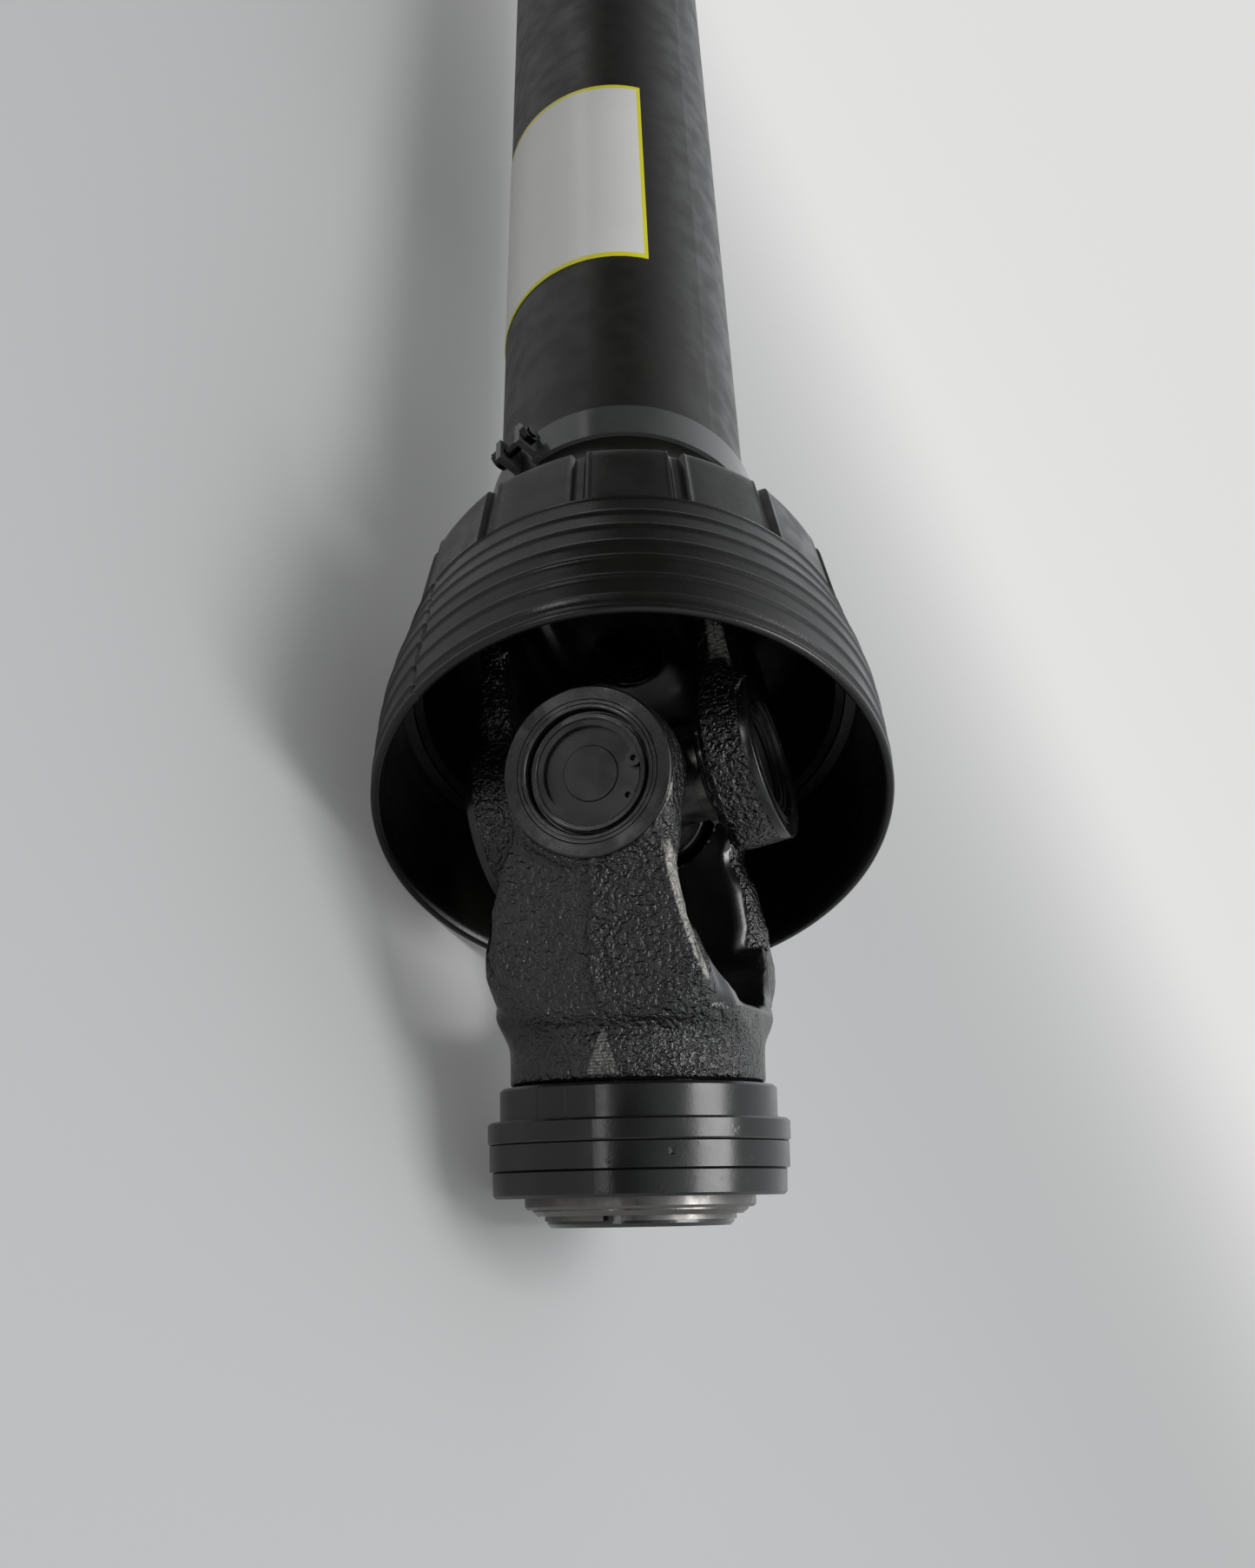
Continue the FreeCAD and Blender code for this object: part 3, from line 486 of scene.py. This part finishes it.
def forging(name, node, body, matrix, material, plain, voxel):
    """The rounded fork below the neck's end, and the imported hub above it."""
    source = nodes[node]
    work = bpy.data.objects.new(name + "_work", source.data.copy())
    bpy.context.scene.collection.objects.link(work)
    work.matrix_world = source.matrix_world
    even = work.modifiers.new("even", "REMESH")
    even.mode = "VOXEL"
    even.voxel_size = voxel
    depsgraph = bpy.context.evaluated_depsgraph_get()
    mesh = bpy.data.meshes.new_from_object(work.evaluated_get(depsgraph))
    bpy.data.objects.remove(work)
    points = points_of(mesh, matrix)
    x, y, z = points.T
    reach, pin = np.abs(x), np.hypot(y, z)
    face = (pin < EAR_RADIUS + 0.1) & (reach > 42.7)
    bore = (pin < BORE_REACH) & (reach > GAP_HALF - 1.0)
    gap = (reach < GAP_HALF + 0.9) & (z < 61.0)
    held = face | bore | (z > 82.5) | (np.hypot(x, y) < 20.0) | gap
    free = np.where(held, 0.0, 1.0)
    milled = (y * np.sign(x) < -18) & (z > 20) & (z < ARM_FOOT) & (reach > 36)
    free = np.where(milled & ~held, 0.35, free)
    points = relaxed(mesh, points, free, RELAX_PASSES)
    points = bowed(points)
    x, y, z = points.T
    pin = np.hypot(y, z)
    # room for the turned ring that stands in for each ear's face and bore
    sunk = (pin < 24.9) & (np.abs(x) > FACE_SUNK_TO)
    x = np.where(sunk, np.sign(x) * FACE_SUNK_TO, x)
    wide = (pin < BORE_REACH) & (np.abs(x) > GAP_HALF - 1.0) & (pin > 1)
    grow = np.where(wide, BORE_WIDENED_TO / np.maximum(pin, 1), 1.0)
    points = np.stack([x, y * grow, z * grow], 1)
    put_points(mesh, points, matrix)
    normals = np.empty(len(mesh.vertices) * 3)
    mesh.vertices.foreach_get("normal", normals)
    normals = normals.reshape(-1, 3) @ np.array(matrix)[:3, :3]
    rough = (~held | (z > ARM_FOOT)) * step(z, 88, 83) * np.where(milled, 0.25, 1.0)
    rough = rough * step(np.abs(x), 28.3, 29.3)
    rough = np.where(pin < 25.6, 0.0, rough) * np.where(y * np.sign(x) > 0, 0.6, 1.0)
    put_points(mesh, points + normals * (lumpy(points) * rough * SCALE_LIFT)[:, None], matrix)
    above = matrix.col[2].xyz
    cut_at = matrix.translation + above * NECK_CUT * MM
    half(mesh, cut_at, above, keep_above=False)
    fork = finished(name, mesh, body, material)
    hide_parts(node)
    hub_mesh = source.data.copy()
    hub_mesh.transform(source.matrix_world)
    half(hub_mesh, cut_at, above, keep_above=True)
    hub = finished(name + "_hub", hub_mesh, body, plain)
    crease(hub, 35)
    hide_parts(node)


def half(mesh, at, normal, keep_above):
    """Cuts a mesh by a plane and keeps one side."""
    work = bmesh.new()
    work.from_mesh(mesh)
    everything = work.verts[:] + work.edges[:] + work.faces[:]
    bmesh.ops.bisect_plane(work, geom=everything, plane_co=at, plane_no=normal,
                           clear_inner=keep_above, clear_outer=not keep_above)
    work.to_mesh(mesh)
    work.free()


def boss_rings(name, body, matrix, material):
    """The machined face of each ear, with its bore's mouth and clip groove."""
    profile = [(18.9, 38.0), (18.9, 41.0), (24.45, 41.0), (24.45, 42.9), (24.3, 43.25), (23.9, EAR_FACE),
               (20.6, EAR_FACE), (20.45, 43.3), (20.3, EAR_FACE), (19.35, EAR_FACE), (19.2, 43.3),
               (19.05, EAR_FACE), (18.25, EAR_FACE), (18.0, 43.3), (17.7, 39.8), (16.8, 39.6),
               (16.65, 42.05), (16.5, 42.25),
               (15.35, 42.2), (15.15, 42.05), (15.15, 41.62), (16.35, 41.6), (16.35, 40.02), (15.12, 40.0),
               (15.12, 38.0)]
    for number, turn in ((1, 1), (2, -1)):
        along = axes(matrix.col[2].xyz * -turn, matrix.col[0].xyz * turn, matrix.translation)
        lathe("%s%d" % (name, number), body, material, along, profile,
              turns=160, sharp=30)


# Guard shells

def bell_radius(depth):
    """The bell's plain radius at a depth from its mouth."""
    return float(np.interp(depth, (0, 8, 20, 30, 40, 50, 60), (76.0, 75.9, 75.5, 75.0, 73.4, 71.3, 69.6)))


BEADS = (5.8, 15.0, 24.0, 31.5, 41.0, 50.0)     # their depths
BEAD_HEIGHT = 0.85
BEAD_WIDTH = 0.9
BEAD_STEP = 0.35        # the side falls by this share of a bead's height past each bead
SPLIT_DEPTHS = (0, 15, 31, 45, 57, 61)
SPLIT_ANGLES = (109.5, 110.5, 108, 110.5, 114, 111)
SPLIT_CUT, SPLIT_HALF_ANGLE = 0.75, 0.42


def bell(end, material):
    """Soft bell with a thick rim and rounded beads, lapped on the base."""
    outer = [(75.3, 0.0), (76.2, 0.0), (76.8, 0.35), (77.0, 1.0), (77.0, 1.8), (76.7, 2.5),
             (bell_radius(2.9), 2.9)]
    depth = 3.5
    while depth < 59.0:
        bead = sum(math.exp(-((depth - at) / BEAD_WIDTH) ** 2)
                   + BEAD_STEP / (1 + math.exp((depth - at) / 0.5)) for at in BEADS)
        fall = BEAD_STEP * BEAD_HEIGHT * len(BEADS) * (1 - depth / 59.0) * 0.8
        outer.append((bell_radius(depth) + BEAD_HEIGHT * bead - fall, depth))
        depth += 0.55
    outer += [(70.3, 59.1), (69.9, LAP_END), (67.0, LAP_END), (66.76, 59.2), (66.76, 45.2)]
    inner = [(bell_radius(at) - 2.4, at) for at in (44.6, 42, 39, 35, 30, 25, 20, 15, 10, 6)]
    inner += [(73.9, 3.0), (74.5, 0.5)]
    profile = [(radius, MOUTH_REACH - at) for radius, at in outer + inner]
    even = [round(1.5 * i, 2) for i in range(240)]
    fine = [round(103 + 0.5 * i, 2) for i in range(33)]
    turns = sorted(set(even + fine))

    def split(angle, radius, height):
        """The mould's split line, a shallow groove that wanders down the outside."""
        depth = MOUTH_REACH - height
        if depth > 60 or radius < bell_radius(max(depth, 0.0)) - 1.2:
            return radius, height
        off = math.degrees(angle) - float(np.interp(depth, SPLIT_DEPTHS, SPLIT_ANGLES))
        return radius - SPLIT_CUT * math.exp(-(off / SPLIT_HALF_ANGLE) ** 2), height

    made = lathe("bell_" + end.name, end.guard_body, material, end.guard, profile,
                 turns, sharp=50, shift=split)
    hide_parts("guard_bell_" + end.name)


GROOVE_COUNT = 14
GROOVE_ROLL = 17.2      # one groove's centre, turned from upright about the shaft
GROOVE_HALF_WIDTH, GROOVE_CUT = 2.0, 1.9
GROOVE_SIDE = 68        # radius on which widths across a groove are measured


def base(end, material, tube):
    """Stiff base with its grooves, a ridge beside each, and a rounded shoulder."""
    depths = [59.8, 60.2, 61, 63, 66, 70, 74, 78, 82, 85, 87]
    profile = [(63.7, 46.2), (66.4, 46.2), (66.55, 46.5), (66.55, 59.8)]
    profile += [(69.3 - 4.0 * (at - 59.8) / 30.2, at) for at in depths]
    profile += [(65.4, 88.2), (65.1, 89.2), (64.5, 90.0), (63.6, 90.6), (62.2, 91.3), (58, 95.2), (54, 99.6),
                (50.5, 103.9), (48, 108.0), (46.4, 111.4), (45.1, 114.0), (44.2, 116.0)]
    sleeve = tube + 1.6
    profile = [(r if at < 100 else r + (sleeve - 43.4) * (at - 100) / 16.0, at) for r, at in profile]
    profile += [(sleeve, 118.0), (sleeve, 140.8), (sleeve - 0.2, 141.0), (tube + 0.1, 141.0),
                (tube + 0.1, 107.6), (tube - 3.0, 107.6), (tube - 3.0, 106.0), (42.0, 106.0),
                (42.0, 97.4), (41.1, 97.0), (41.1, 96.0), (42.0, 94.8), (50, 92.4), (60.4, 87.6),
                (61.3, 86.0), (63.0, 62.0)]
    profile = [(radius, MOUTH_REACH - at) for radius, at in profile]

    def groove(angle, radius, height):
        """Grooves, ridges and a slight swell between them, fading out over the shoulder."""
        depth = MOUTH_REACH - height
        if radius < 57 or depth < 59.5 or depth > 96 or radius < 63.2 and depth < 90.5:
            return radius, height
        pitch = 360 / GROOVE_COUNT
        off = (math.degrees(angle) - GROOVE_ROLL + pitch / 2) % pitch - pitch / 2
        across = math.radians(off) * GROOVE_SIDE
        cut = 1.0 / (1 + math.exp((abs(across) - GROOVE_HALF_WIDTH) / 0.16))
        ridge = math.exp(-((across + 2.9) / 0.45) ** 2) + 0.5 * math.exp(-((across - 2.8) / 0.4) ** 2)
        fade = min(1.0, max(0.0, (96 - depth) / 5.0))
        swell = 0.35 * math.cos(math.radians(off * GROOVE_COUNT))
        return radius + fade * (-GROOVE_CUT * cut + 0.45 * ridge + swell * 0.4), height

    made = lathe("base_" + end.name, end.guard_body, material, end.guard, profile,
                 turns=720, sharp=45, shift=groove)
    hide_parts("guard_base_" + end.name)


def coil(end, material):
    """The collar's spring, a copy of the imported coil left where it was packed, between the hub's shelf and
    the collar.
    """
    node = nodes["collar_spring_" + end.name]
    mesh = node.data.copy()
    mesh.transform(node.matrix_world)
    reach = points_of(mesh, end.end)[:, 2]
    mesh.shade_smooth()
    mesh.materials.clear()
    mesh.materials.append(material)
    made = bpy.data.objects.new("spring_coil_" + end.name, mesh)
    bpy.context.scene.collection.objects.link(made)
    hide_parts("collar_spring_" + end.name)
    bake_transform(made)


# Finishes of the carried-over pieces

paint_smooth = plastic("painted_cap", (0.005, 0.005, 0.005), 0.2, 1500, 0.00001, 0.1)
paint_hub = plastic("painted_hub", (0.005, 0.005, 0.005), 0.24, 500, 0.0001, 0.4)
bright = steel("machined", (0.5, 0.48, 0.45), 0.3)
ground_steel = steel("ground", (0.16, 0.155, 0.145), 0.3)
washer_steel = steel("washer", (0.13, 0.127, 0.118), 0.28)
dark_steel = steel("oiled_steel", (0.14, 0.135, 0.13), 0.35)
screw_steel = steel("screw", (0.035, 0.035, 0.033), 0.2)
tube_black = plastic("tube_plastic", (0.0062, 0.0058, 0.005), 0.4, 500, 0.00004)
guard_black = plastic("guard_plastic", (0.0042, 0.004, 0.0034), 0.32, 600, 0.00004, specular=0.35)
band_black = plastic("band", (0.03, 0.031, 0.03), 0.2, 900, 0.00001, 0.4)
nylon = plastic("nylon", (0.5, 0.48, 0.42), 0.45)
label_finish = label_face()
collars = {end.name: collar_plastic("collar_" + end.name, end) for end in ENDS}

FINISH = (
    ("end_yoke", paint_hub), ("inner_yoke", paint_hub), ("bearing_cup", paint_smooth),
    ("circlips", paint_smooth), ("cross_seals", ground_steel), ("cross", dark_steel),
    ("grease_nipple", bright), ("spring_pin", dark_steel), ("collar_sleeve", dark_steel),
    ("collar_spring", dark_steel), ("end_washer", washer_steel), ("snap_ring", dark_steel),
    ("lock_ball", ground_steel), ("guard_bearing", nylon), ("guard_", guard_black),
    ("retaining_band", band_black), ("band_screw", screw_steel), ("outer_profile", dark_steel),
    ("inner_profile", dark_steel), ("outer_guard", tube_black), ("inner_guard", tube_black),
    ("label", label_finish),
)
COLLAR_RINGS = ("collar_shield", "collar_ring", "collar_grip")
for name, node in nodes.items():
    if name.startswith(COLLAR_RINGS):
        finish = collars[name[-1]]
    else:
        finish = next(material for start, material in FINISH if name.startswith(start))
    node.data.materials.clear()
    node.data.materials.append(finish)

for end in ENDS:
    name = end.name
    forging("end_fork_" + name, "end_yoke_" + name, "yoke_" + name, end.end,
            forged("forged_end_" + name, end.end), paint_hub, FINE_VOXEL)
    forging("inner_fork_" + name, "inner_yoke_" + name, end.drive, end.inner,
            forged("forged_inner_" + name, end.inner), paint_hub, COARSE_VOXEL)
    boss_rings("end_boss_" + name, "yoke_" + name, end.end, turned_face("boss_end_" + name, end.end))
    boss_rings("inner_boss_" + name, end.drive, end.inner, turned_face("boss_inner_" + name, end.inner))
    coil(end, dark_steel)
    bell(end, bell_plastic("bell_plastic_" + name))
    base(end, guard_black, OUTER_TUBE if name == "a" else INNER_TUBE)


# Floor, light and camera

FLOOR_HALF, RIM_HALF, RIM_HEIGHT = 20, 80, 4        # metres: flat middle, and a rim that rises round it
PAINTED_LIGHT_SIDE = Vector((-0.77, 0.64, 0))               # the way across the floor in which its painted light grows, from painted shade at the part
PAINTED_LIGHT_FROM = (0.5, -0.05, 0)

floor_paint = Paint("floor", (0.44, 0.44, 0.44), 0.9, specular=0.2)
away = floor_paint.along(PAINTED_LIGHT_SIDE, PAINTED_LIGHT_FROM)
# painted shade and painted light: the grey the floor shows is dark on one side of the part, mid grey beside
# it and near white far off on the other side, as if a far lamp lit it
painted_near_shade = floor_paint.mix(floor_paint.ramp(away, -1.1, -0.25), (0.12, 0.12, 0.12), (0.37, 0.37, 0.37))
painted_floor_light = floor_paint.mix(floor_paint.ramp(away, 0.35, 1.2), painted_near_shade, (0.92, 0.925, 0.905))
seen = floor_paint.node("ShaderNodeEmission")
floor_paint.link(painted_floor_light, seen.inputs["Color"])
# the painted shade and painted light show where the floor is seen, directly or mirrored; its own grey lights
# the part
paths = floor_paint.node("ShaderNodeLightPath").outputs
mirrored = floor_paint.math("MAXIMUM", paths["Is Glossy Ray"], paths["Is Transmission Ray"])
direct = floor_paint.math("MAXIMUM", paths["Is Camera Ray"], mirrored)
blend = floor_paint.node("ShaderNodeMixShader")
floor_paint.link(floor_paint.math("MULTIPLY", direct, floor_paint.ramp(away, 0.25, 1.2, 0.3, 0.7)),
                 blend.inputs["Fac"])
floor_paint.link(floor_paint.shader.outputs["BSDF"], blend.inputs[1])
floor_paint.link(seen.outputs["Emission"], blend.inputs[2])
floor_paint.link(blend.outputs["Shader"], floor_paint.tree.nodes["Material Output"].inputs["Surface"])
floor_mesh = bpy.data.meshes.new("floor")
corners = [(-1, -1), (1, -1), (1, 1), (-1, 1)]
flat = [(FLOOR_HALF * x, FLOOR_HALF * y, 0) for x, y in corners]
rim = [(RIM_HALF * x, RIM_HALF * y, RIM_HEIGHT) for x, y in corners]
floor_mesh.from_pydata(flat + rim, [],
                       [(0, 1, 2, 3), (0, 4, 5, 1), (1, 5, 6, 2), (2, 6, 7, 3), (3, 7, 4, 0)])
floor = bpy.data.objects.new("floor", floor_mesh)
floor_mesh.materials.append(floor_paint.material)
bpy.context.scene.collection.objects.link(floor)

SKY_SIDE = (0.35, 0.9, 0.25)        # the way in which the surroundings get lighter

world = bpy.data.worlds.new("studio")
world.use_nodes = True
tree = world.node_tree
sky = tree.nodes["Background"]
place = tree.nodes.new("ShaderNodeTexCoord")
facing = tree.nodes.new("ShaderNodeVectorMath")
facing.operation = "DOT_PRODUCT"
facing.inputs[1].default_value = SKY_SIDE
dim = tree.nodes.new("ShaderNodeMapRange")
dim.interpolation_type = "SMOOTHSTEP"
for key, number in (("From Min", -0.55), ("From Max", 0.25), ("To Min", 0.05), ("To Max", 0.95)):
    dim.inputs[key].default_value = number
tree.links.new(place.outputs["Generated"], facing.inputs[0])
tree.links.new(facing.outputs["Value"], dim.inputs["Value"])
tree.links.new(dim.outputs["Result"], sky.inputs["Strength"])
sky.inputs["Color"].default_value = (0.95, 0.97, 1, 1)
bpy.context.scene.world = world


LAMP_AIM = Vector((0.46, 0, 0.07))


def lamp(name, towards, distance, size, power):
    """A soft panel that faces the near joint from a direction."""
    light = bpy.data.lights.new(name, "AREA")
    light.shape = "RECTANGLE"
    light.size, light.size_y = size
    light.energy = power
    made = bpy.data.objects.new(name, light)
    bpy.context.scene.collection.objects.link(made)
    made.location = LAMP_AIM + Vector(towards).normalized() * distance
    made.rotation_euler = (LAMP_AIM - made.location).to_track_quat("-Z", "Y").to_euler()


lamp("ceiling", (0.25, 0.09, 0.96), 1.5, (0.75, 0.75), 17)
lamp("window", (0.47, -0.88, 0.01), 1.6, (0.42, 0.14), 1.1)
lamp("side", (0.08, -0.98, 0.14), 1.6, (0.42, 0.24), 2.6)

# The camera's axes, its place from the near joint along them in millimetres, and its focal
# length and the frame's height in pixels
RIGHT, UP = Vector((0.0217, 0.5603, 0.8283)), Vector((-0.6982, -0.5845, 0.4136))
BACK = Vector((0.7156, -0.5873, 0.3785))
CAMERA_PLACE = (-1.5, 4.1, 642.4)
FOCAL, FRAME_HEIGHT = 2500, 1806
SENSOR = 36

camera_data = bpy.data.cameras.new("camera")
camera_data.sensor_width = SENSOR
camera_data.lens = FOCAL / FRAME_HEIGHT * SENSOR
camera_data.clip_end = 300
camera = bpy.data.objects.new("camera", camera_data)
bpy.context.scene.collection.objects.link(camera)
turn = Matrix((RIGHT, UP, BACK)).transposed().to_4x4()
offset = RIGHT * CAMERA_PLACE[0] + UP * CAMERA_PLACE[1] + BACK * CAMERA_PLACE[2]
turn.translation = END_A.centre + offset * MM
camera.matrix_world = turn
bpy.context.scene.camera = camera
bpy.context.scene.view_settings.view_transform = "Standard"
